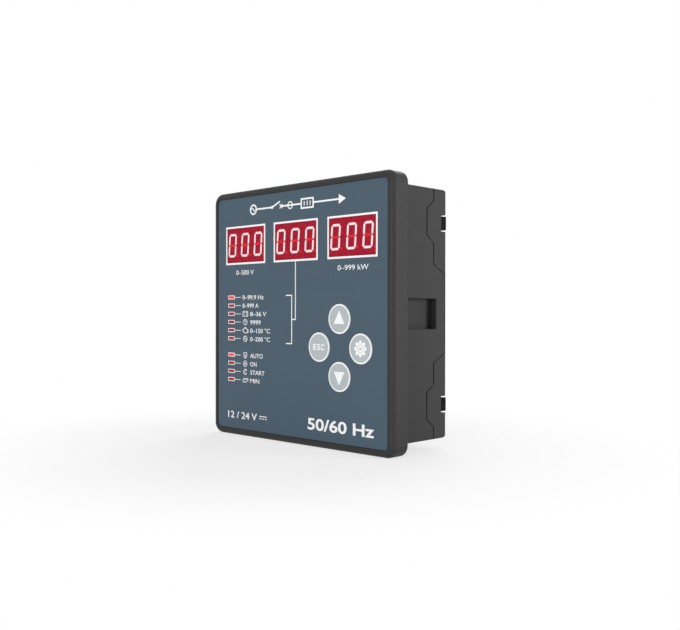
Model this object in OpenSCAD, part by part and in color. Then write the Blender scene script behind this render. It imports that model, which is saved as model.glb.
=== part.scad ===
// Panel-mounted generator-set controller: square bezel, three LED displays, ten indicators, four keys.
// Each piece is drawn in the front view: x to the right, y up, z out of the panel towards the viewer,
// with z = 0 on the panel's front surface. upright() then turns it so that the front faces -Y.

/* [Bezel] */
// Width and height of the square bezel
bezel_w = 96; // [94:0.5:110]
// Depth of the bezel in front of the panel
bezel_t = 7.4; // [6.5:0.1:12]
// Corner radius of the bezel, seen from the front
bezel_corner_r = 4.2; // [3:0.1:8]
// Radius that rounds the bezel's front edge
bezel_edge_r = 2.1; // [0.5:0.1:2.6]

/* [Case] */
// Width and height of the case behind the panel
body_w = 88.8; // [87:0.2:92]
// Depth of the case behind the panel
body_d = 26; // [25.2:0.2:40]
// Radius of the case's long and rear edges
body_edge_r = 1.2; // [0.4:0.1:2]
// Thickness of the case walls
wall = 2.2; // [1.8:0.1:2.6]
// Thickness of the front wall under the overlay
front_wall = 2; // [1.4:0.1:2.4]
// Thickness of the rear plate
rear_wall = 3.3; // [2:0.05:3.6]
// Thickness of the housing's lip inside the seam
lip_t = 1.1; // [0.7:0.1:1.4]
// Clearance between the lip and the cover
lip_clear = 0.15; // [0.1:0.05:0.3]

/* [Seam] */
// Width of the groove between housing and cover
seam_gap = 0.5; // [0.2:0.05:0.6]
// Depth of the cover's walls beside the tabs
cover_d = 7.8; // [7.4:0.05:9]
// How far the cover's tabs reach forward of the seam
tab_rise = 3.85; // [1:0.05:6]
// Height of a tab's straight front
tab_h = 9.5; // [5:0.1:10]
// Height of the slope on each side of a tab
tab_slope = 2.65; // [1:0.05:3]
// How far the housing's tongue reaches back of the seam
tongue_rise = 6.6; // [2:0.05:7]
// Height of the tongue's straight end
tongue_h = 27.8; // [20:0.1:32]
// Height of the slope on each side of the tongue
tongue_slope = 3.4; // [1:0.1:4]
// Radius that rounds the seam's corners
seam_bend_r = 1.4; // [0.4:0.1:2]

/* [Clip pockets] */
// Height of the pocket that takes a mounting clip
clip_h = 10.7; // [6:0.1:14]
// Depth behind the panel where the pocket starts
clip_start = 1.5; // [1:0.1:5]
// Distance of the pocket's end from the case's rear
clip_rear = 6; // [5.4:0.1:10]
// Depth of the pocket into the side
clip_deep = 3; // [1.5:0.1:3.4]
// Thickness of the wall round the pocket, inside
clip_wall = 1.5; // [1:0.1:2]

/* [Overlay] */
// Width of the bezel's border round the printed film
overlay_rim = 2.7; // [2.2:0.1:3.4]
// Corner radius of the film
overlay_corner_r = 2; // [1:0.1:3]
// Thickness of the film
overlay_t = 0.3; // [0.2:0.05:0.8]
// How far the film's face lies below the bezel's rim
overlay_sink = 0.4; // [0:0.05:0.5]
// Least distance between the film's edge and the space that the displays and keys share
film_margin = 3.3; // [3:0.1:6]
// Clearance round the film and round what passes through it
film_clear = 0.1; // [0.05:0.01:0.2]
// Thickness of the printed ink
ink_t = 0.06; // [0.04:0.01:0.1]
// Width of the long printed lines
line_w = 0.4; // [0.3:0.05:0.8]

/* [Displays] */
// Width of a display module
module_w = 22.7; // [22:0.1:24]
// Height of a display module
module_h = 14; // [13.6:0.1:16]
// Depth of a display module
module_t = 7.2; // [7.2:0.1:9]
// Distance of the outer displays from the sides of the layout
display_margin = 2.05; // [1.5:0.05:4]
// Distance of the displays from the top of the layout
display_top = 8.3; // [7.5:0.1:11]
// Distance of the displays right of the layout's middle
display_shift = 0.25; // [0:0.05:0.5]
// Width of a display's border under the film
window_lap = 0.2; // [0.1:0.05:0.5]
// Width of the printed frame round a display
frame_line = 0.7; // [0.5:0.05:1.2]
// Clearance round a module in the front wall
module_clear = 0.2; // [0.1:0.05:0.3]
// Distance between digits
digit_pitch = 7.7; // [7:0.05:7.8]
// Width of a digit
digit_w = 4.7; // [4:0.1:5]
// Height of a digit
digit_h = 9.2; // [8:0.1:10]
// Width of a segment
segment_w = 0.85; // [0.6:0.05:1.2]
// Gap between neighbouring segments
segment_gap = 0.08; // [0.05:0.01:0.3]
// Depth of a segment below the display's face
segment_t = 0.8; // [0.4:0.1:1.5]
// Lean of the digits, in degrees
digit_lean = 4; // [0:1:10]
// Distance of the digits left of the display's centre
digit_shift = 0.5; // [0:0.05:0.6]
// Distance of the digits above the display's centre
digit_rise = 0.1; // [0:0.05:0.4]
// Radius of the decimal point
point_r = 0.45; // [0.3:0.05:0.5]
// Gap between a digit and its decimal point
point_gap = 0.2; // [0.1:0.05:0.3]
// Radius of a display pin
pin_r = 0.25; // [0.2:0.05:0.4]
// Distance between display pins
pin_pitch = 2.54; // [2:0.01:2.54]

/* [Indicators] */
// Width of an indicator's lens
lens_w = 3.3; // [2.5:0.1:4]
// Height of an indicator's lens
lens_h = 0.85; // [0.7:0.05:1.5]
// Width of the printed outline round a lens
lens_line = 0.25; // [0.2:0.05:0.5]
// Distance between indicators
indicator_pitch = 3.235; // [2.9:0.005:3.4]
// Distance of the indicators from the left side of the layout
indicator_margin = 5.15; // [5:0.05:7]
// Distance of the first indicator below the displays
indicator_drop = 13.4; // [10:0.05:15]
// Length of the short printed line beside an indicator
tick_l = 3.7; // [2:0.1:5]
// Width of the short printed line
tick_w = 0.2; // [0.15:0.05:0.5]

/* [Bracket] */
// Distance of the leader line right of the layout's middle
leader_shift = 0.4; // [0:0.05:1]
// Width of the bracket's arms
bracket_arm = 3.1; // [1:0.1:5]
// Distance of the bracket's bar left of the leader line
bracket_step = 2; // [1:0.1:3]
// Height of the bracket above the first indicator of its group
bracket_over = 0.65; // [0:0.05:2]
// Depth of the bracket below the last indicator of its group
bracket_under = 1.4; // [0:0.05:2]

/* [Keys] */
// Radius of a key
key_r = 5.28; // [4:0.02:5.6]
// Distance of each key from the middle of the four
key_reach = 10.1; // [9:0.1:10.5]
// Distance of the four keys' middle from the right side of the layout
keys_margin = 19.1; // [18:0.1:21]
// Distance of the four keys' middle from the bottom of the layout
keys_rise = 30.1; // [28:0.1:32]
// How far a key stands proud of the film
key_proud = 0.15; // [0.1:0.05:1]
// Travel of a key
key_travel = 0.4; // [0.2:0.05:0.45]
// Radius that rounds a key's front edge
key_edge_r = 0.1; // [0.05:0.05:0.4]
// Clearance round a key
key_clear = 0.2; // [0.15:0.05:0.3]
// Clearance between a key's flange and the front wall
key_play = 0.05; // [0.02:0.01:0.1]
// Width of a key's flange behind the front wall
flange_w = 0.85; // [0.5:0.05:1]
// Thickness of a key's flange
flange_t = 0.7; // [0.4:0.05:0.8]
// Radius of a key's stem
stem_r = 1.6; // [1:0.1:1.7]
// Length of a key's stem below its flange
stem_l = 0.35; // [0.2:0.05:0.8]
// Width of the white rim left round a key's grey face
rim_w = 0.6; // [0.3:0.05:0.8]
// Thickness of the grey face
label_t = 0.08; // [0.05:0.01:0.15]

/* [Switches] */
// Width and height of a switch
switch_w = 6; // [5:0.1:6.5]
// Radius of a switch's plunger
plunger_r = 1.75; // [1.7:0.05:2.2]
// How far the plunger stands out of its switch
plunger_proud = 0.6; // [0.5:0.05:0.7]
// Length of the plunger inside its switch
plunger_in = 1.2; // [0.6:0.1:1.4]
// Clearance round the plunger
plunger_clear = 0.15; // [0.1:0.05:0.3]

/* [Boards] */
// Thickness of a circuit board
board_t = 1.6; // [1:0.1:2]
// Clearance round the boards in the case
board_clear = 0.4; // [0.3:0.1:1]
// Distance between the boards
board_gap = 6; // [5:0.1:6.4]
// Radius of the cover screws' shanks
screw_r = 1.2; // [1:0.05:1.3]
// Clearance round a shank that passes through
screw_clear = 0.25; // [0.2:0.05:0.4]
// Clearance round a shank in its boss
thread_clear = 0.05; // [0.02:0.01:0.1]
// Wall round a screw hole in bosses, posts and spacers
boss_wall = 0.95; // [0.8:0.05:1.1]
// Clearance between a post and the lip
post_clear = 0.4; // [0.3:0.05:1]
// Radius of a screw head
head_r = 2.3; // [2:0.1:2.4]
// Thickness of a screw head
head_t = 1.2; // [0.8:0.1:1.3]
// Clearance round a screw head, and depth of the head below the rear plate
head_clear = 0.25; // [0.2:0.05:0.3]
// Width of the cross in a screw head
cross_w = 0.6; // [0.4:0.1:0.8]
// Length of thread in the boss
thread_l = 3.6; // [2:0.1:4]

/* [Terminals] */
// Distance between ways
way_pitch = 3.81; // [3.5:0.01:3.81]
// Distance of the terminal rows from the case's top and bottom
row_edge = 12.1; // [11:0.1:13]
// Height of a plug's body
plug_h = 10; // [9:0.1:10.4]
// Extra width of a plug beyond its ways
plug_end = 0.5; // [0.3:0.1:1]
// Height of the wings at a plug's ends
wing_h = 4.8; // [3:0.1:5]
// Height of the slots that the wings lie in
slot_h = 6; // [5.2:0.1:6.4]
// Depth of a plug's face below the rear plate
plug_sink = 0.2; // [0:0.05:1]
// Clearance round a plug
plug_clear = 0.4; // [0.3:0.05:0.6]
// Height of a header
header_h = 8.4; // [7.6:0.1:9]
// Depth of a plug's body
plug_t = 7; // [6.5:0.1:8]
// Wall of a header
header_wall = 0.8; // [0.6:0.1:1]
// Clearance between a plug's nose and its header
nose_clear = 0.15; // [0.1:0.05:0.2]
// Width of a wire entry
entry_w = 2.6; // [2:0.1:3]
// Height of a wire entry
entry_h = 3; // [2:0.1:3.2]
// Depth of a wire entry
entry_d = 5; // [3:0.1:6]
// Radius of a clamp screw
clamp_r = 1.2; // [0.8:0.05:1.3]
// Clearance round a clamp screw
clamp_clear = 0.1; // [0.05:0.05:0.2]
// Depth of a clamp screw's head below the plug's face
clamp_sink = 0.8; // [0.3:0.1:1.5]
// Length of a clamp screw
clamp_l = 3.5; // [2:0.1:4]
// Height between a plug's wire entries and its clamp screws
clamp_rise = 4.6; // [4.3:0.1:4.8]

/* [Circuit] */
// Width of a relay
relay_w = 20; // [12:0.1:21]
// Height of a relay
relay_h = 10; // [8:0.1:11]
// Clearance between the tall parts and the rear plate
tall_clear = 1.85; // [0.5:0.05:6]
// Radius of a supply capacitor
capacitor_r = 4; // [3:0.1:5]
// Width and height of the supply coil
coil_w = 12; // [8:0.1:13]
// Depth of the supply coil
coil_t = 6; // [3:0.1:9]
// Width and height of the processor
processor_w = 10; // [7:0.1:14]
// Depth of the processor
processor_t = 1.4; // [1:0.1:2]
// Width of the strip between the boards
link_w = 25.4; // [10:0.1:40]
// Height of the strip between the boards
link_h = 5; // [2.5:0.1:6]

/* [Hidden] */
$fn = 64;
case_grey = "#4c4c4d";
film_blue = "#4f5e6a";
ink_white = "#f2f3f4";
display_red = "#a32134";
segment_red = "#e83238";
lens_red = "#b01c30";
lens_lit = "#ff2e34";
key_grey = "#b6bec2";
board_green = "#1f5a3c";
terminal_black = "#141415";
steel = "#b9bcc0";
pane_tint = [0.9, 0.85, 0.85, 0.25];

hair = 0.01;
film_z = bezel_t - overlay_sink;
recess_z = film_z - overlay_t;
inner_z = recess_z - front_wall;
inner_w = body_w - 2 * wall;
lip_w = inner_w + 2 * lip_t;
rear_z = -body_d;
plate_z = rear_z + rear_wall;
seam_reach = body_w + 2 * wall;
seam_d = body_d - cover_d;
overlay_w = bezel_w - 2 * overlay_rim;
layout_w = min(inner_w, overlay_w - 2 * film_margin);

display_board_z = recess_z - module_t;
link_z = display_board_z - board_t;
power_board_z = link_z - board_gap;
back_z = power_board_z - board_t;
board_w = inner_w - 2 * board_clear;
header_z = rear_z + plug_sink + plug_t;
tall_z = plate_z + tall_clear;

window_w = module_w - 2 * window_lap;
window_h = module_h - 2 * window_lap;
module_pitch = layout_w / 2 - display_margin - module_w / 2;
module_y = layout_w / 2 - display_top - module_h / 2;
indicator_x = layout_w / 2 - indicator_margin;
indicator_y = module_y - module_h / 2 - indicator_drop;
keys_x = layout_w / 2 - keys_margin;
keys_y = layout_w / 2 - keys_rise;

through_r = screw_r + screw_clear;
post_r = through_r + boss_wall;
boss_r = post_r + post_clear + lip_t / 2;
screw_x = inner_w / 2 - post_clear - post_r;
seat_r = head_r + head_clear;
seat_z = rear_z + head_clear + head_t;
tip_z = display_board_z + thread_l;

clip_x = body_w / 2 - clip_deep;
clip_pad_x = clip_x - clip_wall;
clip_pad_h = clip_h + 2 * clip_wall;
clip_end = body_d - clip_rear;

row_y = body_w / 2 - row_edge;
row_room = 2 * (screw_x - seat_r - plug_clear - plug_end);
ways = floor(row_room / way_pitch);
row_w = ways * way_pitch;
plug_w = row_w + 2 * plug_end;
plug_z = rear_z + plug_sink;
nose_w = plug_w - 2 * plug_end;
nose_h = header_h - 2 * header_wall - 2 * nose_clear;
header_w = nose_w + 2 * nose_clear + 2 * header_wall;

key_top_z = film_z + key_proud;
flange_z = inner_z - key_play;
plunger_z = flange_z - flange_t - stem_l;
switch_z = plunger_z - plunger_proud;
face_r = key_r - rim_w;

SIDES = ["left", "middle", "right"];
KEYS = ["up", "down", "escape", "settings"];
KEY_WAYS = [[0, 1], [0, -1], [-1, 0], [1, 0]];
ROWS = ["upper", "lower"];
// Rows of the indicators, counted down from the first: six, a space, then four
INDICATOR_ROWS = [0, 1, 2, 3, 4, 5, 7, 8, 9, 10];
BRACKET_LAST = 5;
// Indicators that are on
INDICATORS_ON = [0, 6];
PINS_IN_ROW = 6;
DIGITS = [-1, 0, 1];
CORNERS = [[1, 1], [-1, 1], [-1, -1], [1, -1]];
// Steps of a rounded corner in an outline
BEND_STEPS = 5;

function side_x(i) = (i - 1) * module_pitch + display_shift;
function key_at(i) = [keys_x, -keys_y] + key_reach * KEY_WAYS[i];
function row_at(i) = [0, (1 - 2 * i) * row_y];
function indicator_at(i) = [-indicator_x, indicator_y - INDICATOR_ROWS[i] * indicator_pitch];
function way_x(i) = (i - (ways - 1) / 2) * way_pitch;
function lean(p) = [p.x + p.y * tan(digit_lean), p.y];
// Points that round the corner at b, on the way from a to c
function bend(a, b, c, r) =
    let (
        u = (a - b) / norm(a - b),
        v = (c - b) / norm(c - b),
        half = acos(u * v) / 2,
        centre = b + r / sin(half) * (u + v) / norm(u + v),
        from = b + r / tan(half) * u - centre,
        to = b + r / tan(half) * v - centre
    )
    [for (i = [0 : BEND_STEPS])
        let (p = from + i / BEND_STEPS * (to - from)) centre + r * p / norm(p)];

module upright() {
    rotate([90, 0, 0]) children();
}

// A flat shape given thickness between two heights
module slab(z0, z1) {
    translate([0, 0, z0]) linear_extrude(z1 - z0) children();
}

module round_square(w, r) {
    square([w - 2 * r, w], center = true);
    square([w, w - 2 * r], center = true);
    for (c = CORNERS) translate((w / 2 - r) * c) circle(r);
}

// Section of a plate's border, with its upper outer edge rounded
module rounded_section(l, t, r) {
    difference() {
        square([l, t]);
        translate([l - r, t - r]) difference() {
            square(r + hair);
            circle(r);
        }
    }
}

// Square plate with rounded corners and a rounded upper edge
module rounded_plate(w, t, corner_r, edge_r) {
    straight = w - 2 * corner_r;
    translate([-straight / 2, -straight / 2, 0]) cube([straight, straight, t]);
    for (i = [0 : 3]) rotate(90 * i) {
        translate([straight / 2, straight / 2, 0]) rotate([90, 0, 0])
            linear_extrude(straight) rounded_section(corner_r, t, edge_r);
        translate([straight / 2, straight / 2, 0])
            rotate_extrude(angle = 90) rounded_section(corner_r, t, edge_r);
    }
}

// Side view of the space in front of the seam, as depth behind the panel against height
module seam_outline(shift) {
    base = seam_d + shift;
    tab = base - tab_rise;
    tongue = base + tongue_rise;
    tab_top = row_y + tab_h / 2;
    tab_low = row_y - tab_h / 2;
    half = [
        [base, tab_top + tab_slope],
        [tab, tab_top],
        [tab, tab_low],
        [base, tab_low - tab_slope],
        [base, tongue_h / 2 + tongue_slope],
        [tongue, tongue_h / 2]
    ];
    lower = [for (i = [len(half) - 1 : -1 : 0]) [half[i].x, -half[i].y]];
    top = seam_reach / 2;
    path = concat([[base, top]], half, lower, [[base, -top]]);
    seam = [for (i = [1 : len(path) - 2], p = bend(path[i - 1], path[i], path[i + 1], seam_bend_r)) p];
    polygon(concat([[-bezel_t, top], [base, top]], seam, [[base, -top], [-bezel_t, -top]]));
}

module before_seam(shift) {
    translate([-seam_reach / 2, 0, 0]) rotate([0, 90, 0]) linear_extrude(seam_reach) seam_outline(shift);
}

module screw_places() {
    for (c = CORNERS) translate(screw_x * c) children();
}

module clip_places() {
    for (i = [0, 1]) mirror([i, 0, 0]) children();
}

module front_housing() {
    color(case_grey) upright() difference() {
        union() {
            rounded_plate(bezel_w, bezel_t, bezel_corner_r, bezel_edge_r);
            intersection() {
                slab(rear_z, hair) round_square(body_w, body_edge_r);
                before_seam(0);
            }
            slab(plate_z + seam_gap, 0) square(lip_w, center = true);
        }
        difference() {
            slab(rear_z - hair, inner_z) square(inner_w, center = true);
            clip_places() slab(-clip_end - clip_wall, inner_z + hair)
                translate([clip_pad_x, -clip_pad_h / 2]) square([clip_deep + clip_wall, clip_pad_h]);
            slab(display_board_z, inner_z + hair) screw_places() circle(boss_r);
        }
        slab(recess_z, bezel_t + hair) round_square(overlay_w + 2 * film_clear, overlay_corner_r + film_clear);
        slab(inner_z - hair, recess_z + hair) front_openings();
        slab(display_board_z - hair, tip_z + screw_r) screw_places() circle(screw_r + thread_clear);
        clip_places() slab(-clip_end, -clip_start)
            translate([clip_x, -clip_h / 2]) square([clip_deep + wall, clip_h]);
    }
}

// Holes in the front wall for displays, indicators and keys
module front_openings() {
    for (i = [0 : 2]) translate([side_x(i), module_y])
        square([module_w + 2 * module_clear, module_h + 2 * module_clear], center = true);
    for (i = [0 : len(INDICATOR_ROWS) - 1]) translate(indicator_at(i))
        square([lens_w + 2 * film_clear, lens_h + 2 * film_clear], center = true);
    for (i = [0 : 3]) translate(key_at(i)) circle(key_r + key_clear);
}

module rear_cover() {
    color(case_grey) upright() difference() {
        union() {
            difference() {
                mirror([0, 0, 1]) rounded_plate(body_w, body_d, body_edge_r, body_edge_r);
                before_seam(seam_gap);
                slab(plate_z, hair) square(lip_w + 2 * lip_clear, center = true);
            }
            slab(plate_z - hair, back_z) screw_places() circle(post_r);
        }
        slab(rear_z - hair, back_z + hair) screw_places() circle(through_r);
        slab(rear_z - hair, seat_z) screw_places() circle(seat_r);
        slab(rear_z - hair, plate_z) for (i = [0, 1]) translate(row_at(i)) {
            square([plug_w + 2 * plug_clear, plug_h + 2 * plug_clear], center = true);
            square([body_w + wall, slot_h], center = true);
        }
    }
}

module front_overlay() {
    color(film_blue) upright() slab(recess_z, film_z) difference() {
        round_square(overlay_w, overlay_corner_r);
        for (i = [0 : 2]) translate([side_x(i), module_y]) square([window_w, window_h], center = true);
        for (i = [0 : len(INDICATOR_ROWS) - 1]) translate(indicator_at(i))
            square([lens_w + 2 * film_clear, lens_h + 2 * film_clear], center = true);
        for (i = [0 : 3]) translate(key_at(i)) circle(key_r + key_clear);
    }
}

module overlay_print() {
    color(ink_white) upright() slab(film_z, film_z + ink_t) {
        for (i = [0 : 2]) translate([side_x(i), module_y]) display_frame();
        for (i = [0 : len(INDICATOR_ROWS) - 1]) translate(indicator_at(i)) indicator_outline();
        leader_line();
    }
}

module display_frame() {
    difference() {
        square([window_w + 2 * frame_line, window_h + 2 * frame_line], center = true);
        square([window_w, window_h], center = true);
    }
}

module indicator_outline() {
    outer_w = lens_w + 2 * film_clear + 2 * lens_line;
    outer_h = lens_h + 2 * film_clear + 2 * lens_line;
    difference() {
        square([outer_w, outer_h], center = true);
        square([lens_w + 2 * film_clear, lens_h + 2 * film_clear], center = true);
    }
    translate([outer_w / 2, -tick_w / 2]) square([tick_l, tick_w]);
}

// Line from the middle display down to the bracket that spans the first group of indicators
module leader_line() {
    high = indicator_at(0).y + bracket_over;
    low = indicator_at(BRACKET_LAST).y - bracket_under;
    mid = (high + low) / 2;
    frame_low = module_y - window_h / 2 - frame_line;
    translate([leader_shift, 0]) {
        translate([-line_w / 2, mid - line_w / 2]) square([line_w, frame_low - mid + line_w / 2]);
        translate([-bracket_step, mid - line_w / 2]) square([bracket_step, line_w]);
        translate([-bracket_step - line_w / 2, low]) square([line_w, high - low]);
        for (y = [low, high - line_w]) translate([-bracket_step - bracket_arm, y]) square([bracket_arm, line_w]);
    }
}

module display_window(i) {
    color(pane_tint) upright() slab(recess_z, film_z) translate([side_x(i), module_y])
        square([window_w - film_clear, window_h - film_clear], center = true);
}

// One segment from a to b, with pointed ends
module bar(a, b) {
    d = (b - a) / norm(b - a);
    n = [-d.y, d.x];
    h = segment_w / 2;
    p = a + segment_gap * d;
    q = b - segment_gap * d;
    points = [p, p + h * (d + n), q + h * (n - d), q, q - h * (d + n), p + h * (d - n)];
    polygon([for (v = points) lean(v)]);
}

module lit_bars() {
    x = (digit_w - segment_w) / 2;
    y = (digit_h - segment_w) / 2;
    for (s = [-1, 1]) {
        bar([-x, s * y], [x, s * y]);
        bar([s * x, 0], [s * x, y]);
        bar([s * x, -y], [s * x, 0]);
    }
}

module unlit_bars() {
    x = (digit_w - segment_w) / 2;
    bar([-x, 0], [x, 0]);
}

module point_place() {
    translate([digit_w / 2 + point_gap + point_r, point_r - digit_h / 2]) children();
}

module digit_places(i) {
    for (d = DIGITS) translate([side_x(i) + d * digit_pitch - digit_shift, module_y + digit_rise]) children();
}

module pin_places(i) {
    for (s = [-1, 1], p = [0 : PINS_IN_ROW - 1])
        translate([side_x(i) + (p - (PINS_IN_ROW - 1) / 2) * pin_pitch, module_y + s * 2 * pin_pitch]) children();
}

module display(i) {
    color(display_red) upright() {
        difference() {
            slab(display_board_z, recess_z) translate([side_x(i), module_y])
                square([module_w, module_h], center = true);
            slab(recess_z - segment_t, recess_z + hair) digit_places(i) {
                lit_bars();
                unlit_bars();
                point_place() circle(point_r + hair);
            }
        }
        slab(link_z - board_t / 2, display_board_z + hair) pin_places(i) circle(pin_r);
    }
}

module lit_segments(i) {
    color(ink_white) upright() slab(recess_z - segment_t, recess_z) digit_places(i) lit_bars();
}

module unlit_segments(i) {
    color(segment_red) upright() slab(recess_z - segment_t, recess_z) digit_places(i) {
        unlit_bars();
        point_place() circle(point_r);
    }
}

module lead_places(i) {
    for (s = [-1, 1]) translate(indicator_at(i) + [s * pin_pitch / 2, 0]) children();
}

module indicator(i) {
    foot_w = lens_w + 2 * lens_line;
    foot_h = lens_h + 2 * lens_line;
    lit = len(search(i, INDICATORS_ON)) > 0;
    color(lit ? lens_lit : lens_red) upright() {
        slab(inner_z - flange_t, film_z) translate(indicator_at(i)) square([lens_w, lens_h], center = true);
        slab(display_board_z, inner_z - flange_t / 2) translate(indicator_at(i))
            square([foot_w, foot_h], center = true);
        slab(link_z - board_t / 2, display_board_z + hair) lead_places(i) circle(pin_r);
    }
}

module key(i) {
    color(ink_white) upright() translate(key_at(i)) {
        translate([0, 0, flange_z - flange_t]) rotate_extrude()
            rounded_section(key_r, key_top_z - flange_z + flange_t, key_edge_r);
        slab(flange_z - flange_t, flange_z) circle(key_r + flange_w);
        slab(plunger_z, flange_z) circle(stem_r);
    }
}

// Signs on the keys, drawn to the key's radius
module arrow_sign() {
    polygon(key_r * [[0, 0.58], [0.5, -0.33], [-0.5, -0.33]]);
}

module gear_sign() {
    hub_r = 0.42 * key_r;
    tooth_w = 0.22 * key_r;
    tooth_r = 0.54 * key_r;
    ring_r = 0.27 * key_r;
    ring_line = 0.025 * key_r;
    difference() {
        union() {
            circle(hub_r);
            for (a = [0 : 45 : 135]) rotate(a) square([2 * tooth_r, tooth_w], center = true);
        }
        difference() {
            circle(ring_r);
            circle(ring_r - ring_line);
        }
        circle(0.075 * key_r);
    }
}

// Quarter turns of a letter's stroke
module letter_bend(r, w, from, turns) {
    for (t = [0 : turns - 1]) rotate(from + 90 * t) intersection() {
        difference() {
            circle(r + w / 2);
            circle(r - w / 2);
        }
        square(r + w);
    }
}

module escape_sign() {
    h = 0.42 * key_r;
    w = 0.085 * key_r;
    letter_w = 0.33 * key_r;
    step = 0.39 * key_r;
    r = (h - w) / 4;
    arm = (letter_w - w) / 2 - r;
    translate([-step - letter_w / 2, 0]) {
        translate([0, -h / 2]) square([w, h]);
        for (s = [-1, 0, 1]) translate([0, s * (h - w) / 2 - w / 2]) square([letter_w, w]);
    }
    for (s = [0, 1]) rotate(180 * s) {
        translate([arm, r]) letter_bend(r, w, 0, 1);
        translate([-arm, r]) letter_bend(r, w, 90, 2);
        translate([-arm, 2 * r - w / 2]) square([2 * arm, w]);
    }
    square([2 * arm, w], center = true);
    translate([step, 0]) {
        for (s = [0, 1]) mirror([0, s, 0]) {
            translate([arm, r]) letter_bend(r, w, 0, 1);
            translate([-arm, r]) letter_bend(r, w, 90, 1);
            translate([-arm, 2 * r - w / 2]) square([2 * arm, w]);
        }
        translate([-arm - r - w / 2, -r]) square([w, 2 * r]);
    }
}

module key_sign(i) {
    if (i == 0) arrow_sign();
    if (i == 1) mirror([0, 1, 0]) arrow_sign();
    if (i == 2) escape_sign();
    if (i == 3) gear_sign();
}

module key_label(i) {
    color(key_grey) upright() translate(key_at(i)) slab(key_top_z, key_top_z + label_t) difference() {
        circle(face_r);
        key_sign(i);
    }
}

module key_switch(i) {
    color(terminal_black) upright() translate(key_at(i)) difference() {
        slab(display_board_z, switch_z) square(switch_w, center = true);
        slab(switch_z - plunger_in - key_travel - plunger_clear, switch_z + hair)
            circle(plunger_r + plunger_clear);
    }
}

module plunger(i) {
    color(steel) upright() translate(key_at(i)) slab(switch_z - plunger_in, plunger_z) circle(plunger_r);
}

// Outline of a board, with room for the clip pockets and holes for the screws
module board_outline() {
    difference() {
        square(board_w, center = true);
        clip_places() translate([clip_pad_x - board_clear, -clip_pad_h / 2 - board_clear])
            square([board_w, clip_pad_h + 2 * board_clear]);
        screw_places() circle(through_r);
    }
}

module display_board() {
    hole_r = pin_r + film_clear;
    color(board_green) upright() slab(link_z, display_board_z) difference() {
        board_outline();
        for (i = [0 : 2]) pin_places(i) circle(hole_r);
        for (i = [0 : len(INDICATOR_ROWS) - 1]) lead_places(i) circle(hole_r);
    }
}

module power_board() {
    color(board_green) upright() slab(back_z, power_board_z) board_outline();
}

module board_link() {
    color(terminal_black) upright() slab(power_board_z, link_z) square([link_w, link_h], center = true);
}

module board_spacers() {
    color(steel) upright() slab(power_board_z, link_z) screw_places() difference() {
        circle(post_r);
        circle(through_r);
    }
}

module header(i) {
    color(terminal_black) upright() translate(row_at(i)) difference() {
        slab(header_z, back_z) square([header_w, header_h], center = true);
        slab(header_z - hair, back_z - header_wall)
            square([nose_w + 2 * nose_clear, nose_h + 2 * nose_clear], center = true);
    }
}

module plug(i) {
    entry_y = -clamp_rise / 2;
    color(terminal_black) upright() translate(row_at(i)) difference() {
        union() {
            slab(plug_z, header_z) square([plug_w, plug_h], center = true);
            slab(plug_z, plate_z) square([body_w - 2 * plug_sink, wing_h], center = true);
            slab(header_z - hair, back_z - header_wall - nose_clear) square([nose_w, nose_h], center = true);
        }
        for (w = [0 : ways - 1]) translate([way_x(w), 0]) {
            slab(plug_z - hair, plug_z + entry_d) translate([0, entry_y])
                square([entry_w, entry_h], center = true);
            slab(plug_z - hair, plug_z + clamp_sink + clamp_l) translate([0, entry_y + clamp_rise])
                circle(clamp_r + clamp_clear);
        }
    }
}

module terminal_screws(i) {
    head_z = plug_z + clamp_sink;
    color(steel) upright() translate(row_at(i)) for (w = [0 : ways - 1])
        translate([way_x(w), clamp_rise / 2]) difference() {
            slab(head_z, head_z + clamp_l) circle(clamp_r);
            slab(head_z - hair, head_z + cross_w) square([2 * clamp_r + hair, cross_w], center = true);
        }
}

module relay(y) {
    color("#2b4f86") upright() slab(tall_z, back_z) translate([-board_w / 4, y])
        square([relay_w, relay_h], center = true);
}

module processor() {
    color(terminal_black) upright() slab(link_z - processor_t, link_z) translate([0, -board_w / 4])
        square(processor_w, center = true);
}

module supply_capacitors() {
    color("#30343c") upright() for (s = [-1, 1])
        slab(tall_z, back_z) translate([capacitor_r, s * (capacitor_r + board_gap / 2)])
            circle(capacitor_r);
}

module supply_coil() {
    color("#5b5046") upright() slab(back_z - coil_t, back_z) translate([board_w / 4 + capacitor_r, 0])
        square(coil_w, center = true);
}

module cover_screws() {
    color(steel) upright() screw_places() difference() {
        union() {
            slab(seat_z, tip_z) circle(screw_r);
            slab(seat_z - head_t, seat_z) circle(head_r);
        }
        slab(seat_z - head_t - hair, seat_z - head_t / 2) {
            square([2 * screw_r, cross_w], center = true);
            square([cross_w, 2 * screw_r], center = true);
        }
    }
}

front_housing();
rear_cover();
front_overlay();
overlay_print();
for (i = [0 : 2]) {
    display_window(i);
    display(i);
    lit_segments(i);
    unlit_segments(i);
}
for (i = [0 : len(INDICATOR_ROWS) - 1]) {
    indicator(i);
}
for (i = [0 : 3]) {
    key(i);
    key_label(i);
    key_switch(i);
    plunger(i);
}
display_board();
power_board();
board_link();
board_spacers();
for (i = [0, 1]) {
    header(i);
    plug(i);
    terminal_screws(i);
}
relay(relay_h);  // start_relay
relay(-relay_h);  // fuel_relay
processor();
supply_capacitors();
supply_coil();
cover_screws();
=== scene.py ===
import math

import bmesh
import bpy
from mathutils import Matrix, Vector


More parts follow.
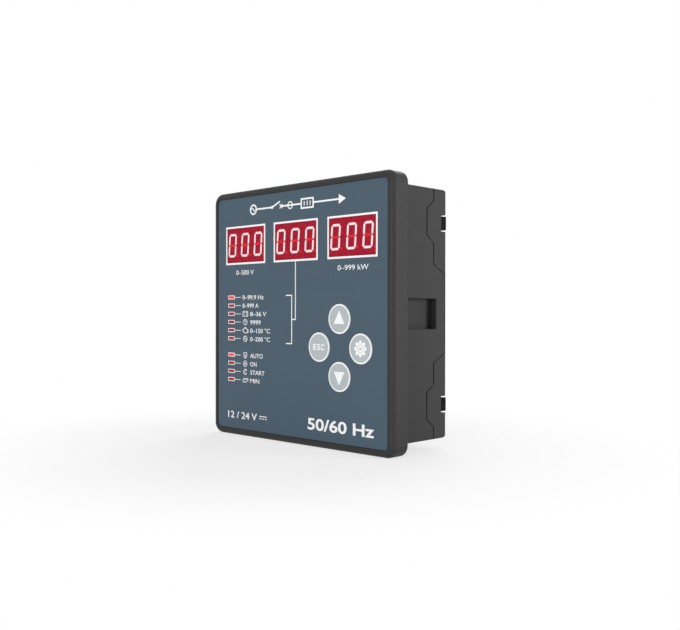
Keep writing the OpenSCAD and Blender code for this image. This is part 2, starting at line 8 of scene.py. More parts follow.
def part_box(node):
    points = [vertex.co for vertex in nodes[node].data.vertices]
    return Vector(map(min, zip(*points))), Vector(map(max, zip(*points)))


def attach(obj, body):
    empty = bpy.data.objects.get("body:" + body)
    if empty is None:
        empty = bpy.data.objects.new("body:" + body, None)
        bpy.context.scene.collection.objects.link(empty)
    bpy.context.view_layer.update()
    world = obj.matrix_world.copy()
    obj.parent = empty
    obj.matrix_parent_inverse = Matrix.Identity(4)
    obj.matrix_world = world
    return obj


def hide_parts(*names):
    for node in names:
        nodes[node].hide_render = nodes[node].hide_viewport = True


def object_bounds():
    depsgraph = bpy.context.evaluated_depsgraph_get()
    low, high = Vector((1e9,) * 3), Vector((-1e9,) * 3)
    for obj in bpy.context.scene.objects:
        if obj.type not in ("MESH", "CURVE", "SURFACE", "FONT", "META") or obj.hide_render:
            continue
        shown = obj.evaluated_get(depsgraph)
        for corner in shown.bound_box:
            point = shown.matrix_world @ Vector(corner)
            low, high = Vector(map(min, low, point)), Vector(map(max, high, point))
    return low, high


mm = 0.001
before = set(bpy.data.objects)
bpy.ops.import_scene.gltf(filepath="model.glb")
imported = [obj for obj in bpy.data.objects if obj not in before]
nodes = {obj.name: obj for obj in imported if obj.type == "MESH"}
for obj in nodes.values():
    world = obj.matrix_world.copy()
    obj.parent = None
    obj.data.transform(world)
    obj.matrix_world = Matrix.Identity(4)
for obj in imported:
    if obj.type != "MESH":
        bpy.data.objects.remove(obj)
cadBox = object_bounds()
print("frame loaded with", len(nodes), "nodes")


# sRGB hex, as a colour picker gives it, to the linear colour that Blender's sockets take
def toLinear(hexColour):
    channels = [int(hexColour[i:i + 2], 16) / 255 for i in (1, 3, 5)]
    return (*[c / 12.92 if c <= 0.04045 else ((c + 0.055) / 1.055) ** 2.4 for c in channels], 1.0)


def addNode(tree, kind, settings=None, links=None):
    made = tree.nodes.new(kind)
    for name, value in (settings or {}).items():
        if isinstance(name, int) or name in made.inputs:
            made.inputs[name].default_value = value
        else:
            setattr(made, name, value)
    for name, socket in (links or {}).items():
        tree.links.new(socket, made.inputs[name])
    return made


# Two close colours that drift into each other, a grain that is both bump and roughness, and soft edges.
# A pattern may lay its own colours over the drift.
def makeFinish(spec, pattern=None):
    material = bpy.data.materials.new(spec["name"])
    material.use_nodes = True
    tree = material.node_tree
    shader = tree.nodes["Principled BSDF"]
    place = addNode(tree, "ShaderNodeTexCoord").outputs["Object"]
    drift = addNode(tree, "ShaderNodeTexNoise", {
        "Scale": 1 / spec["drift"], "Detail": 4.0,
    }, {"Vector": place})
    grain = addNode(tree, "ShaderNodeTexNoise", {
        "Scale": 1 / spec["grain"], "Detail": 2.0,
    }, {"Vector": place})
    colour = addNode(tree, "ShaderNodeMix", {
        "data_type": "RGBA", 6: toLinear(spec["colours"][0]), 7: toLinear(spec["colours"][1]),
    }, {0: drift.outputs[0]}).outputs[2]
    if pattern:
        colour = pattern(tree, place, colour)
    smooth, coarse = spec["roughness"]
    gloss = addNode(tree, "ShaderNodeMapRange", {
        "From Min": 0.3, "From Max": 0.7,  # where nearly all of the noise lies
        "To Min": smooth, "To Max": coarse,
    }, {"Value": grain.outputs[0]})
    relief = addNode(tree, "ShaderNodeBump", {
        "Strength": 1.0, "Distance": spec["relief"],
    }, {"Height": grain.outputs[0]})
    if "edge" in spec:
        rounded = addNode(tree, "ShaderNodeBevel", {"samples": 6, "Radius": spec["edge"]})
        tree.links.new(rounded.outputs[0], relief.inputs["Normal"])
    tree.links.new(colour, shader.inputs["Base Color"])
    tree.links.new(gloss.outputs[0], shader.inputs["Roughness"])
    tree.links.new(relief.outputs[0], shader.inputs["Normal"])
    for name, value in spec.get("shader", {}).items():
        shader.inputs[name].default_value = value
    return material


# Moulded ABS, from a spark-eroded mould: a dull dark grey skin that breaks up highlights.
# The real pits are about 0.05 mm, drawn at 0.35 mm so that they show.
mouldedAbs = makeFinish({
    "name": "mouldedAbs",
    "colours": ("#353535", "#383838"),
    "drift": 9 * mm,
    "grain": 0.35 * mm,
    "relief": 0.012 * mm,
    "roughness": (0.44, 0.56),
    "edge": 0.25 * mm,
    "shader": {"IOR": 1.54, "Specular IOR Level": 0.09},
})

# Polycarbonate film, velvet side out and printed from behind: an even blue grey with a soft satin sheen.
# The velvet is about 0.03 mm, drawn at 0.3 mm.
velvetFilm = makeFinish({
    "name": "velvetFilm",
    "colours": ("#4e5f6b", "#51616e"),
    "drift": 14 * mm,
    "grain": 0.3 * mm,
    "relief": 0.006 * mm,
    "roughness": (0.44, 0.56),
    "shader": {"IOR": 1.58, "Specular IOR Level": 0.04},
})

# Screen ink, one pass of white: flat and chalky,
# slightly thinner where the threads of the screen crossed, 0.25 mm apart.
screenInk = makeFinish({
    "name": "screenInk",
    "colours": ("#f5f6f7", "#fcfdfd"),
    "drift": 0.8 * mm,
    "grain": 0.25 * mm,
    "relief": 0.008 * mm,
    "roughness": (0.55, 0.7),
    "shader": {"IOR": 1.48, "Specular IOR Level": 0.1},
})

# Red acrylic sheet, cast and polished: a clear filter that deepens what is behind it
redAcrylic = makeFinish({
    "name": "redAcrylic",
    "colours": ("#b0253a", "#b82a40"),
    "drift": 6 * mm,
    "grain": 3 * mm,
    "relief": 0.002 * mm,
    "roughness": (0.1, 0.16),
    "shader": {"IOR": 1.49, "Specular IOR Level": 0.15},
})

# Its faces are nearly clear, but the sawn edges are frosted and show as a solid red line
pane = {"clear": 0.07, "frosted": 1.0, "gap": 0.05 * mm, "edge": 0.04 * mm}
tree = redAcrylic.node_tree
facing = addNode(tree, "ShaderNodeNewGeometry").outputs["True Normal"]
facing = addNode(tree, "ShaderNodeSeparateXYZ", links={0: facing}).outputs["Y"]
facing = addNode(tree, "ShaderNodeMath", {"operation": "ABSOLUTE"}, {0: facing})
frost = addNode(tree, "ShaderNodeMapRange", {
    "From Min": 0.5, "From Max": 0.9,  # from the edges to the faces
    "To Min": pane["frosted"], "To Max": pane["clear"],
}, {"Value": facing.outputs[0]})
tree.links.new(frost.outputs[0], tree.nodes["Principled BSDF"].inputs["Alpha"])

# Only the front millimetre of a display is red epoxy: behind it are the pale PBT shell and the tinned pins
behindFace = {"shell": (1.0 * mm, "#d9d8d2"), "pins": (7.2 * mm, "#b7b9bb")}


def displayLayers(tree, place, colour):
    depth = addNode(tree, "ShaderNodeSeparateXYZ", links={0: place}).outputs["Y"]
    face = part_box("middle_display")[0].y
    for start, layerColour in behindFace.values():
        behind = addNode(tree, "ShaderNodeMath", {"operation": "GREATER_THAN", 1: face + start}, {0: depth})
        colour = addNode(tree, "ShaderNodeMix", {
            "data_type": "RGBA", 7: toLinear(layerColour),
        }, {0: behind.outputs[0], 6: colour}).outputs[2]
    return colour


# Poured red epoxy, cured flat: a deep even red with faint pigment clouds
pouredEpoxy = makeFinish({
    "name": "pouredEpoxy",
    "colours": ("#aa1c32", "#ad1f35"),
    "drift": 2.5 * mm,
    "grain": 0.4 * mm,
    "relief": 0.002 * mm,
    "roughness": (0.45, 0.55),
    "shader": {"IOR": 1.55, "Specular IOR Level": 0.04},
}, displayLayers)

# Milky diffuser resin over lit chips: white all through, a little pink
litDiffuser = makeFinish({
    "name": "litDiffuser",
    "colours": ("#f6e9ec", "#fdf6f7"),
    "drift": 0.7 * mm,
    "grain": 0.3 * mm,
    "relief": 0.002 * mm,
    "roughness": (0.3, 0.4),
    "shader": {
        "IOR": 1.5, "Specular IOR Level": 0.1,
        "Emission Color": toLinear("#fff1f3"), "Emission Strength": 0.2,
    },
})

# The same resin in red, where the chip is off: its faint glow is painted, an emission that stands in for the
# light its lit neighbours spill
redDiffuser = makeFinish({
    "name": "redDiffuser",
    "colours": ("#dc2830", "#e83238"),
    "drift": 0.7 * mm,
    "grain": 0.3 * mm,
    "relief": 0.002 * mm,
    "roughness": (0.3, 0.4),
    "shader": {
        "IOR": 1.5, "Specular IOR Level": 0.1,
        "Emission Color": toLinear("#f0282e"), "Emission Strength": 0.14,
    },
})

# Red lens epoxy, cast, with the chip on: brighter than anything round it
litLens = makeFinish({
    "name": "litLens",
    "colours": ("#ff2a2c", "#ff3d40"),
    "drift": 0.9 * mm,
    "grain": 0.3 * mm,
    "relief": 0.002 * mm,
    "roughness": (0.25, 0.35),
    "shader": {
        "IOR": 1.54, "Specular IOR Level": 0.1,
        "Emission Color": toLinear("#ff2a2c"), "Emission Strength": 0.8,
    },
})

# Red lens epoxy with the chip off: dark cherry red, with a faint painted glow from a weak emission
redLens = makeFinish({
    "name": "redLens",
    "colours": ("#a8162c", "#b82038"),
    "drift": 0.9 * mm,
    "grain": 0.3 * mm,
    "relief": 0.002 * mm,
    "roughness": (0.25, 0.35),
    "shader": {
        "IOR": 1.54, "Specular IOR Level": 0.1,
        "Emission Color": toLinear("#a8162c"), "Emission Strength": 0.08,
    },
})

# Silicone rubber, moulded white: soft and waxy, it lets a little light in
siliconeRubber = makeFinish({
    "name": "siliconeRubber",
    "colours": ("#f8f9f9", "#fcfdfd"),
    "drift": 3 * mm,
    "grain": 0.3 * mm,
    "relief": 0.004 * mm,
    "roughness": (0.42, 0.54),
    "edge": 0.1 * mm,
    "shader": {
        "IOR": 1.41, "Specular IOR Level": 0.15,
        "Subsurface Weight": 0.1, "Subsurface Radius": (0.6 * mm, 0.6 * mm, 0.6 * mm),
    },
})

# Epoxy pad ink on the keys: a flat cool grey
padInk = makeFinish({
    "name": "padInk",
    "colours": ("#b3bbbf", "#bac2c6"),
    "drift": 2.5 * mm,
    "grain": 0.25 * mm,
    "relief": 0.004 * mm,
    "roughness": (0.45, 0.58),
    "shader": {"IOR": 1.5, "Specular IOR Level": 0.1},
})

# Glass-filled PBT, moulded black: matt, with short fibres that print through as fine flecks
filledPbt = makeFinish({
    "name": "filledPbt",
    "colours": ("#18181a", "#222224"),
    "drift": 0.6 * mm,
    "grain": 0.25 * mm,
    "relief": 0.01 * mm,
    "roughness": (0.45, 0.6),
    "edge": 0.12 * mm,
    "shader": {"IOR": 1.55},
})

# Polyamide 66, moulded black: a slightly waxy half-gloss
mouldedPolyamide = makeFinish({
    "name": "mouldedPolyamide",
    "colours": ("#0a0a0b", "#0e0e0f"),
    "drift": 4 * mm,
    "grain": 0.3 * mm,
    "relief": 0.008 * mm,
    "roughness": (0.38, 0.52),
    "edge": 0.15 * mm,
    "shader": {"IOR": 1.53, "Specular IOR Level": 0.03},
})

# Copper tracks show through the mask as a lighter green grid
track = {"width": 0.5 * mm, "length": 7 * mm, "pitch": 1.6 * mm, "stagger": 0.35, "colour": "#2f7a4e"}
black, white = (0.0, 0.0, 0.0, 1.0), (1.0, 1.0, 1.0, 1.0)


def tracksUnderMask(tree, place, colour):
    flat = addNode(tree, "ShaderNodeMapping", {"Rotation": (math.pi / 2, 0.0, 0.0)}, {"Vector": place})
    tracks = addNode(tree, "ShaderNodeTexBrick", {
        "offset": track["stagger"], "Scale": 1.0,
        "Brick Width": track["length"], "Row Height": track["pitch"],
        "Mortar Size": track["width"] / 2, "Mortar Smooth": 0.1,
        "Color1": black, "Color2": black, "Mortar": white,
    }, {"Vector": flat.outputs[0]})
    return addNode(tree, "ShaderNodeMix", {
        "data_type": "RGBA", 7: toLinear(track["colour"]),
    }, {0: tracks.outputs["Color"], 6: colour}).outputs[2]


# Glass-epoxy laminate under solder mask: glossy green, with the tracks showing through in colour
maskedLaminate = makeFinish({
    "name": "maskedLaminate",
    "colours": ("#1d5638", "#235f40"),
    "drift": 1.2 * mm,
    "grain": 0.4 * mm,
    "relief": 0.004 * mm,
    "roughness": (0.25, 0.38),
    "shader": {"IOR": 1.52},
}, tracksUnderMask)

# Tinned brass, stamped: pale yellow metal, dulled by the tin
tinnedBrass = makeFinish({
    "name": "tinnedBrass",
    "colours": ("#b9a878", "#c9bd97"),
    "drift": 0.8 * mm,
    "grain": 0.2 * mm,
    "relief": 0.004 * mm,
    "roughness": (0.28, 0.42),
    "edge": 0.08 * mm,
    "shader": {"Metallic": 1.0},
})

# Zinc-plated steel, clear passivated: bluish grey metal with a fine tumbled dullness
zincSteel = makeFinish({
    "name": "zincSteel",
    "colours": ("#8f9397", "#a3a7ab"),
    "drift": 0.8 * mm,
    "grain": 0.2 * mm,
    "relief": 0.005 * mm,
    "roughness": (0.32, 0.46),
    "edge": 0.08 * mm,
    "shader": {"Metallic": 1.0},
})

# Blue PBT cover of a relay, moulded: half-gloss, a little uneven
bluePbt = makeFinish({
    "name": "bluePbt",
    "colours": ("#274a80", "#2e538d"),
    "drift": 3 * mm,
    "grain": 0.3 * mm,
    "relief": 0.006 * mm,
    "roughness": (0.35, 0.48),
    "edge": 0.2 * mm,
    "shader": {"IOR": 1.55},
})

# The pale stripe that marks the negative side runs down each capacitor, on the side beyond this x
stripe = {"from": 7.2 * mm, "colour": "#9fa4aa"}


def sleeveStripe(tree, place, colour):
    across = addNode(tree, "ShaderNodeSeparateXYZ", links={0: place}).outputs["X"]
    inside = addNode(tree, "ShaderNodeMath", {"operation": "GREATER_THAN", 1: stripe["from"]}, {0: across})
    return addNode(tree, "ShaderNodeMix", {
        "data_type": "RGBA", 7: toLinear(stripe["colour"]),
    }, {0: inside.outputs[0], 6: colour}).outputs[2]


# Shrunk PVC sleeve on a capacitor: shiny, drawn slightly out of true by the heat
shrunkPvc = makeFinish({
    "name": "shrunkPvc",
    "colours": ("#2a2e36", "#343a44"),
    "drift": 2 * mm,
    "grain": 1.2 * mm,
    "relief": 0.02 * mm,
    "roughness": (0.2, 0.32),
    "shader": {"IOR": 1.53},
}, sleeveStripe)

# Sintered ferrite: dark brown grey and stony, with grains of about 0.2 mm
sinteredFerrite = makeFinish({
    "name": "sinteredFerrite",
    "colours": ("#3c3632", "#4d463f"),
    "drift": 0.5 * mm,
    "grain": 0.2 * mm,
    "relief": 0.02 * mm,
    "roughness": (0.55, 0.75),
    "edge": 0.3 * mm,
    "shader": {"IOR": 1.6},
})

finishOf = {
    "case_abs": mouldedAbs, "overlay_film": velvetFilm, "white_ink": screenInk, "clear_pane": redAcrylic,
    "display_epoxy": pouredEpoxy, "segment_lit": litDiffuser, "segment_unlit": redDiffuser,
    "lens_lit": litLens, "lens_red": redLens, "key_white": siliconeRubber, "key_grey": padInk,
    "black_plastic": filledPbt, "terminal_polyamide": mouldedPolyamide, "board_laminate": maskedLaminate,
    "plated_brass": tinnedBrass, "zinc_steel": zincSteel, "relay_blue": bluePbt,
    "capacitor_sleeve": shrunkPvc, "ferrite": sinteredFerrite,
}
for part in nodes.values():
    part.data.materials[0] = finishOf[part.data.materials[0].name]
print("finishes set:", len(finishOf))


def addPiece(name, bm, slot, body="case"):
    mesh = bpy.data.meshes.new(name)
    bm.to_mesh(mesh)
    bm.free()
    piece = bpy.data.objects.new(name, mesh)
    bpy.context.scene.collection.objects.link(piece)
    piece.data.materials.append(finishOf[slot])
    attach(piece, body)
    return piece


# Clear panes in the three display windows, with their edges broken and a hair of air behind them
for side in ("left", "middle", "right"):
    low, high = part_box(side + "_window")
    bm = bmesh.new()
    bmesh.ops.create_cube(bm, size=1.0)
    size = high - low - Vector((0, pane["gap"], 0))
    fit = Matrix.Translation(low + size / 2) @ Matrix.Diagonal((*size, 1))
    bmesh.ops.transform(bm, verts=bm.verts, matrix=fit)
    bmesh.ops.bevel(bm, geom=bm.edges[:], offset=pane["edge"], segments=2, affect="EDGES", profile=0.5)
    made = addPiece(side + "Pane", bm, "clear_pane")
    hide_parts(side + "_window")
print("panes made")

# Printed marks are drawn flat, in millimetres, x to the right and z up, and get their thickness at the end.
# Strokes that cross each other lie on layers a hair apart, so that no two faces coincide.
layerStep = 0.004
steps = {"ring": 40, "disc": 24, "arc": 24, "wave": 16, "letter": 4}  # straight pieces in a round stroke
sharpest = 0.5  # holds back the mitre of a sharp corner


def fillShape(bm, points, layer=0):
    bm.faces.new([bm.verts.new((x, -layer * layerStep, z)) for x, z in points])


def drawLine(bm, points, width, closed=False, layer=0):
    places = [Vector(p) for p in points]
    count = len(places)
    pairs = []
    for i, here in enumerate(places):
        before = here - places[i - 1] if closed or i else places[1] - here
        after = places[(i + 1) % count] - here if closed or i < count - 1 else before
        before, after = before.normalized(), after.normalized()
        square = Vector((-before.y, before.x))
        mitre = (square + Vector((-after.y, after.x))).normalized()
        reach = mitre * (width / 2 / max(sharpest, mitre.dot(square)))
        pairs.append([bm.verts.new((p.x, -layer * layerStep, p.y)) for p in (here - reach, here + reach)])
    for i in range(count if closed else count - 1):
        (a, b), (c, d) = pairs[i], pairs[(i + 1) % count]
        bm.faces.new((a, c, d, b))


def arcPoints(centre, radius, start, end, count):
    turns = [math.radians(start + (end - start) * i / count) for i in range(count + 1)]
    return [(centre[0] + radius * math.cos(t), centre[1] + radius * math.sin(t)) for t in turns]


def drawRing(bm, centre, radius, width, layer=0):
    drawLine(bm, arcPoints(centre, radius, 0, 360, steps["ring"])[:-1], width, closed=True, layer=layer)


def fillDisc(bm, centre, radius, layer=0):
    fillShape(bm, arcPoints(centre, radius, 0, 360, steps["disc"])[:-1], layer)


# One period of a sine wave, the sign of alternating current
def drawWave(bm, centre, reach, swing, width):
    turns = [2 * i / steps["wave"] - 1 for i in range(steps["wave"] + 1)]
    wave = [(centre[0] + reach * t, centre[1] - swing * math.sin(math.pi * t)) for t in turns]
    drawLine(bm, wave, width)


# Height of a capital in the built-in font, at size 1
capHeight = 0.729


# Writes from a left end, or about a centre, on a baseline.
# The letters take the given height, and the line takes the given width if there is one.
def write(bm, text, left, baseline, height, width=None, weight=0.0, centred=False):
    curve = bpy.data.curves.new("mark", "FONT")
    curve.body = text
    curve.resolution_u = steps["letter"]
    curve.offset = weight
    sheet = bpy.data.objects.new("mark", curve)
    bpy.context.scene.collection.objects.link(sheet)
    mesh = bpy.data.meshes.new_from_object(sheet.evaluated_get(bpy.context.evaluated_depsgraph_get()))
    bpy.data.objects.remove(sheet)
    xs = [v.co.x for v in mesh.vertices]
    span = max(xs) - min(xs)
    tall = height / capHeight
    wide = width / span if width else tall
    start = left - min(xs) * wide
    if centred:
        start -= span * wide / 2
    upright = Matrix.Rotation(math.pi / 2, 4, "X")
    mesh.transform(Matrix.Translation((start, 0, baseline)) @ Matrix.Diagonal((wide, 1, tall, 1)) @ upright)
    bm.from_mesh(mesh)
    bpy.data.meshes.remove(mesh)


# Marks are drawn facing forward, and those on the rear are turned round
def inkPiece(name, bm, face, thickness, atRear=False):
    for side in bm.faces:
        side.smooth = False
        side.normal_update()
        if side.normal.y > 0:
            side.normal_flip()
    turn = Matrix.Rotation(math.pi if atRear else 0.0, 4, "Z")
    place = Matrix.Translation((0, face, 0)) @ turn @ Matrix.Scale(mm, 4)
    bmesh.ops.transform(bm, verts=bm.verts, matrix=place)
    piece = addPiece(name, bm, "white_ink")
    layer = piece.modifiers.new("ink", "SOLIDIFY")
    layer.thickness = thickness
    layer.offset = 1.0


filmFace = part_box("front_overlay")[0].y
inkThickness = 0.06 * mm

# Single-line diagram across the top: generator, breaker, current transformer, load
diagram = {
    "left": -25.5, "right": 26.0, "height": 40.0, "line": 0.6, "thin": 0.42,
    "generator": 1.75, "waveReach": 1.15, "waveSwing": 0.62, "feed": 9.2,
    "pivot": 0.62, "blade": (4.4, 1.9), "opening": 5.0, "contact": 0.75,
    "bus": 11.0, "transformer": 1.25, "transformerAt": 5.0,
    "loadWidth": 6.2, "loadHeight": 3.3, "bars": 3, "barPitch": 1.55, "barHeight": 1.6, "arrow": 3.4,
}
bm = bmesh.new()
z, line, thin = diagram["height"], diagram["line"], diagram["thin"]
x = diagram["left"] + diagram["generator"] + line / 2
drawRing(bm, (x, z), diagram["generator"], line)
drawWave(bm, (x, z), diagram["waveReach"], diagram["waveSwing"], thin)
x += diagram["generator"]
pivotX = x + diagram["feed"]
drawLine(bm, [(x, z), (pivotX, z)], line, layer=1)
fillDisc(bm, (pivotX, z), diagram["pivot"], layer=2)
bladeX, bladeZ = diagram["blade"]
drawLine(bm, [(pivotX, z), (pivotX + bladeX, z + bladeZ)], line, layer=3)
contactX, arm = pivotX + diagram["opening"], diagram["contact"]
for layer, rise in ((2, -arm), (3, arm)):
    drawLine(bm, [(contactX - arm, z - rise), (contactX + arm, z + rise)], thin, layer=layer)
loadX = contactX + diagram["bus"]
drawLine(bm, [(contactX, z), (loadX, z)], line, layer=1)
drawRing(bm, (contactX + diagram["transformerAt"], z), diagram["transformer"], thin, layer=2)
endX, half = loadX + diagram["loadWidth"], diagram["loadHeight"] / 2
loadEdge = [(loadX, z - half), (loadX, z + half), (endX, z + half), (endX, z - half)]
drawLine(bm, loadEdge, line, closed=True, layer=2)
half = diagram["barHeight"] / 2
for i in range(diagram["bars"]):
    barX = loadX + (i + 1) * diagram["barPitch"]
    drawLine(bm, [(barX, z - half), (barX, z + half)], thin)
arrowX, half = diagram["right"] - diagram["arrow"], diagram["arrow"] / 2
drawLine(bm, [(endX, z), (arrowX + line, z)], line, layer=1)
fillShape(bm, [(diagram["right"], z), (arrowX, z + half), (arrowX, z - half)], layer=2)
inkPiece("diagramPrint", bm, filmFace, inkThickness)

# Ranges under the outer displays, and the supply along the bottom edge
scales = {"height": 1.9, "baseline": 15.1, "left": (-28.5, 10.6), "right": (29.3, 14.6)}
supply = {"baseline": -41.2, "left": -38.9, "height": 2.7, "width": 17.6, "weight": 0.01}
direct = {"gap": 1.5, "width": 4.2, "rise": 0.45, "line": 0.32, "dashes": 3, "dash": 1.0, "dashPitch": 1.6}
rating = {"baseline": -41.6, "left": 6.9, "height": 4.2, "width": 32.3, "weight": 0.022}
bm = bmesh.new()
for text, (x, width) in (("0–500 V", scales["left"]), ("0–999 kW", scales["right"])):
    write(bm, text, x, scales["baseline"], scales["height"], width, centred=True)
write(bm, "12 / 24 V", **supply)
x, z = supply["left"] + supply["width"] + direct["gap"], supply["baseline"] + supply["height"] / 2
drawLine(bm, [(x, z + direct["rise"]), (x + direct["width"], z + direct["rise"])], direct["line"])
for i in range(direct["dashes"]):
    dashX = x + i * direct["dashPitch"]
    drawLine(bm, [(dashX, z - direct["rise"]), (dashX + direct["dash"], z - direct["rise"])], direct["line"])
write(bm, "50/60 Hz", **rating)
inkPiece("scalePrint", bm, filmFace, inkThickness)

# Small pictures beside the indicators, each drawn about its own centre
sign = {"line": 0.26, "outline": 0.24, "detail": 0.22, "mark": 0.2, "arc": 0.28, "ring": 1.05}


def shifted(points, x, z):
    return [(x + dx, z + dz) for dx, dz in points]


def batterySign(bm, x, z):
    postAt, markAt = 0.9, 0.75
    case = [(-1.5, -0.9), (1.5, -0.9), (1.5, 0.7), (-1.5, 0.7)]
    post = [(-0.3, 0.83), (0.3, 0.83), (0.3, 1.15), (-0.3, 1.15)]
    bar, upright = [(-0.35, -0.1), (0.35, -0.1)], [(0, -0.45), (0, 0.25)]
    drawLine(bm, shifted(case, x, z), sign["line"], closed=True)
    for side in (-1, 1):
        fillShape(bm, shifted(post, x + side * postAt, z))
        drawLine(bm, shifted(bar, x + side * markAt, z), sign["mark"])
    drawLine(bm, shifted(upright, x + markAt, z), sign["mark"], layer=1)


def clockSign(bm, x, z):
    hands = [(0, 0.7), (0, 0), (0.5, 0)]
    drawRing(bm, (x, z), sign["ring"], sign["line"])
    drawLine(bm, shifted(hands, x, z), sign["detail"])


def engineSign(bm, x, z):
    block = [(-1.5, -0.3), (-1.5, 0.5), (-0.9, 0.5), (-0.5, 0.9), (0.6, 0.9), (0.9, 0.5), (1.2, 0.5),
             (1.2, 0.15), (1.7, 0.15), (1.7, -0.75), (1.2, -0.75), (1.2, -0.4),
             (0.9, -0.95), (-0.6, -0.95), (-1.0, -0.3)]
    cover = [(-0.4, 1.15), (0.5, 1.15)]
    drawLine(bm, shifted(block, x, z), sign["outline"], closed=True)
    drawLine(bm, shifted(cover, x, z), sign["outline"])


def generatorSign(bm, x, z):
    drawRing(bm, (x, z), sign["ring"], sign["line"])
    drawWave(bm, (x, z), reach=0.65, swing=0.36, width=sign["detail"])


def shieldSign(bm, x, z):
    edge = [(-1.0, 0.9), (0.0, 1.15), (1.0, 0.9), (0.95, 0.0), (0.6, -0.7),
            (0.0, -1.15), (-0.6, -0.7), (-0.95, 0.0)]
    tick = [(-0.45, 0), (-0.1, -0.4), (0.5, 0.4)]
    drawLine(bm, shifted(edge, x, z), sign["line"], closed=True)
    drawLine(bm, shifted(tick, x, z), sign["detail"])


def runSign(bm, x, z):
    arrow = [(-0.35, -0.55), (0.6, 0), (-0.35, 0.55)]
    drawRing(bm, (x, z), sign["ring"], sign["line"])
    fillShape(bm, shifted(arrow, x, z))


def crankSign(bm, x, z):
    head = [(0.2, 0.45), (1.05, 0.62), (0.42, 1.25)]
    drawLine(bm, arcPoints((x, z), radius=0.95, start=60, end=340, count=steps["arc"]), sign["arc"])
    fillShape(bm, shifted(head, x, z), layer=1)
    fillDisc(bm, (x, z), radius=0.25)


def oilSign(bm, x, z):
    can = [(-1.3, -0.7), (-1.3, 0.35), (0.3, 0.35), (1.5, 0.8), (1.7, 0.55), (0.6, -0.7)]
    lid = [(-0.8, 0.75), (0.1, 0.75)]
    drop = [(1.75, 0.25), (1.95, -0.2), (1.75, -0.4), (1.55, -0.2)]
    drawLine(bm, shifted(can, x, z), sign["outline"], closed=True)
    drawLine(bm, shifted(lid, x, z), sign["outline"])
    fillShape(bm, shifted(drop, x, z))


rowMarks = {"left": -30.0, "height": 1.75, "weight": 0.004, "signGap": 1.3, "signWidth": 3.4}
# For each indicator its sign, its words and their width
rowText = [
    (None, "0–99.9 Hz", 12.6), (None, "0–999 A", 9.6),
    (batterySign, "8–36 V", 9.4), (clockSign, "9999", 6.2),
    (engineSign, "0–150 °C", 11.6), (generatorSign, "0–200 °C", 11.6),
    (shieldSign, "AUTO", 7.4), (runSign, "ON", 3.8), (crankSign, "START", 8.4), (oilSign, "MIN", 5.4),
]
bm = bmesh.new()
for i, (drawSign, text, width) in enumerate(rowText):
    low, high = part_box("indicator_%d" % (i + 1))
    z = (low.z + high.z) / 2 / mm
    x = rowMarks["left"]
    if drawSign:
        drawSign(bm, x + rowMarks["signWidth"] / 2, z)
        x += rowMarks["signWidth"] + rowMarks["signGap"]
    write(bm, text, x, z - rowMarks["height"] / 2, rowMarks["height"], width, rowMarks["weight"])
inkPiece("indicatorPrint", bm, filmFace, inkThickness)
print("film print made")

# Way numbers on the rear plate, inward of each terminal row
wayNumbers = {"ways": 18, "height": 1.5, "gap": 1.3, "thickness": 0.02 * mm}
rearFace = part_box("rear_cover")[1].y
screwLow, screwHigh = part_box("upper_terminal_screws")
ways = wayNumbers["ways"]
# From the first screw's centre to the last one's, shared among the ways
wayPitch = (screwHigh.x - screwLow.x - (screwHigh.z - screwLow.z)) / (ways - 1) / mm
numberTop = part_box("upper_plug")[0].z / mm - wayNumbers["gap"]


def wayX(i):
    return (i % ways - (ways - 1) / 2) * wayPitch


bm = bmesh.new()
for i in range(2 * ways):
    z = numberTop - wayNumbers["height"] if i < ways else -numberTop
    write(bm, str(i + 1), wayX(i), z, wayNumbers["height"], centred=True)
inkPiece("wayNumbers", bm, rearFace, wayNumbers["thickness"], atRear=True)
print("way numbers made")

# Bent metal cages at the bottom of the wire entries
cage = {
    "width": 2.3 * mm, "height": 2.7 * mm, "depth": 3.0 * mm, "wall": 0.3 * mm,
    "floor": 4.9 * mm,  # in from the plug's rear face
    "drop": 2.3 * mm,  # down from the plug's middle
}
outer = Vector((cage["width"] / 2, 0, cage["height"] / 2))
inner = outer - Vector((cage["wall"], 0, cage["wall"]))
corners = [(-1, -1), (1, -1), (1, 1), (-1, 1)]
for row in ("upper", "lower"):
    low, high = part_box(row + "_plug")
    entry = (low.z + high.z) / 2 - cage["drop"]
    bm = bmesh.new()
    for i in range(ways):
        x = wayX(i) * mm
        rings = []
        for reach, depth in ((outer, 0), (outer, 1), (inner, 1), (inner, 0)):
            y = high.y - cage["floor"] + depth * cage["depth"]
            rings.append([bm.verts.new((x + sx * reach.x, y, entry + sz * reach.z)) for sx, sz in corners])
        for a, b in zip(rings, rings[1:] + rings[:1]):
            for k in range(len(corners)):
                bm.faces.new((a[k - 1], a[k], b[k], b[k - 1]))
    bmesh.ops.recalc_face_normals(bm, faces=bm.faces)
    addPiece(row + "WireCages", bm, "plated_brass")
print("wire cages made")

# Camera where the photograph was taken from, in millimetres and degrees
view = {
    "place": (231.25, -220.77, 0.92), "turn": 44.226, "tilt": -0.257, "roll": 0.058,
    "lens": 45.384, "sensor": 36.0,
}
eye = bpy.data.cameras.new("camera")
eye.sensor_width = view["sensor"]
eye.lens = view["lens"]
camera = bpy.data.objects.new("camera", eye)
bpy.context.scene.collection.objects.link(camera)
camera.matrix_world = (
    Matrix.Translation(Vector(view["place"]) * mm)
    @ Matrix.Rotation(math.radians(view["turn"]), 4, "Z")
    @ Matrix.Rotation(math.radians(90 + view["tilt"]), 4, "X")
    @ Matrix.Rotation(math.radians(view["roll"]), 4, "Z")
)
bpy.context.scene.camera = camera

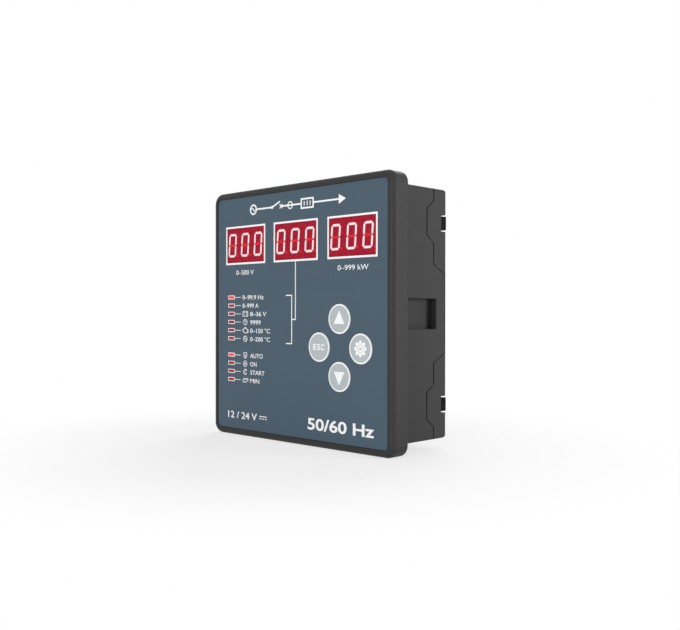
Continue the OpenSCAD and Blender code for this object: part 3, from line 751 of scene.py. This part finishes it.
# Plain white studio: soft boxes in front and on the right, a wider one behind on the left, a weak one above.
# Places and sizes are in metres, power is in watts.
softBoxes = {
    "frontBox": {"place": (0.30, -1.15, 0.11), "size": 0.3, "power": 8.5},
    "rightBox": {"place": (0.66, 0.36, 0.12), "size": 0.3, "power": 3.7},
    "rearBox": {"place": (-0.35, 0.62, 0.35), "size": 0.5, "power": 4.6},
    "topBox": {"place": (0.0, 0.0, 0.75), "size": 0.6, "power": 1.0},
}
for name, box in softBoxes.items():
    lamp = bpy.data.lights.new(name, "AREA")
    lamp.size = box["size"]
    lamp.energy = box["power"]
    holder = bpy.data.objects.new(name, lamp)
    holder.location = box["place"]
    holder.rotation_euler = (-Vector(box["place"])).to_track_quat("-Z", "Y").to_euler()
    bpy.context.scene.collection.objects.link(holder)


# 1 where the camera sees a surface itself, mirrored or through glass, and 0 where it only lights the object
def seenByCamera(tree):
    path = addNode(tree, "ShaderNodeLightPath")
    mirrored = addNode(tree, "ShaderNodeMath", {"operation": "MAXIMUM"}, {
        0: path.outputs["Is Camera Ray"], 1: path.outputs["Is Glossy Ray"],
    })
    through = addNode(tree, "ShaderNodeMath", {"operation": "MAXIMUM"}, {
        0: mirrored.outputs[0], 1: path.outputs["Is Transmission Ray"],
    })
    return through.outputs[0]


# White all round. Near the object the paper keeps a share of its own shade, so that the shadow shows.
backdrop = {
    "ambient": 0.2, "floorHeight": cadBox[0].z, "floorSize": 8.0, "segments": 4,
    "floorColour": "#f4f4f3", "roughness": 0.9, "shade": 0.28, "shadeFrom": 0.05, "shadeTo": 0.14,
}
world = bpy.data.worlds.new("studio")
bpy.context.scene.world = world
world.use_nodes = True
tree = world.node_tree
level = addNode(tree, "ShaderNodeMapRange", {
    "To Min": backdrop["ambient"], "To Max": 1.0,
}, {"Value": seenByCamera(tree)})
tree.links.new(level.outputs[0], tree.nodes["Background"].inputs["Strength"])
tree.nodes["Background"].inputs["Color"].default_value = white

bm = bmesh.new()
segments = backdrop["segments"]
bmesh.ops.create_grid(bm, x_segments=segments, y_segments=segments, size=backdrop["floorSize"] / 2)
floorMesh = bpy.data.meshes.new("floor")
bm.to_mesh(floorMesh)
bm.free()
floor = bpy.data.objects.new("floor", floorMesh)
floor.location.z = backdrop["floorHeight"]
bpy.context.scene.collection.objects.link(floor)
paper = bpy.data.materials.new("studioPaper")
paper.use_nodes = True
tree = paper.node_tree
shader = tree.nodes["Principled BSDF"]
shader.inputs["Base Color"].default_value = toLinear(backdrop["floorColour"])
shader.inputs["Roughness"].default_value = backdrop["roughness"]
shader.inputs["Specular IOR Level"].default_value = 0.0
place = addNode(tree, "ShaderNodeTexCoord").outputs["Object"]
reach = addNode(tree, "ShaderNodeVectorMath", {"operation": "LENGTH"}, {0: place})
fade = addNode(tree, "ShaderNodeMapRange", {
    "interpolation_type": "SMOOTHSTEP", "From Min": backdrop["shadeFrom"], "From Max": backdrop["shadeTo"],
    "To Min": 1 - backdrop["shade"], "To Max": 1.0,
}, {"Value": reach.outputs["Value"]})
share = addNode(tree, "ShaderNodeMath", {"operation": "MULTIPLY"}, {
    0: seenByCamera(tree), 1: fade.outputs[0],
})
glow = addNode(tree, "ShaderNodeEmission", {"Color": white, "Strength": 1.0})
blend = addNode(tree, "ShaderNodeMixShader", links={
    0: share.outputs[0], 1: shader.outputs[0], 2: glow.outputs[0],
})
tree.links.new(blend.outputs[0], tree.nodes["Material Output"].inputs["Surface"])
floor.data.materials.append(paper)
bpy.context.scene.view_settings.view_transform = "Standard"
print("studio set")
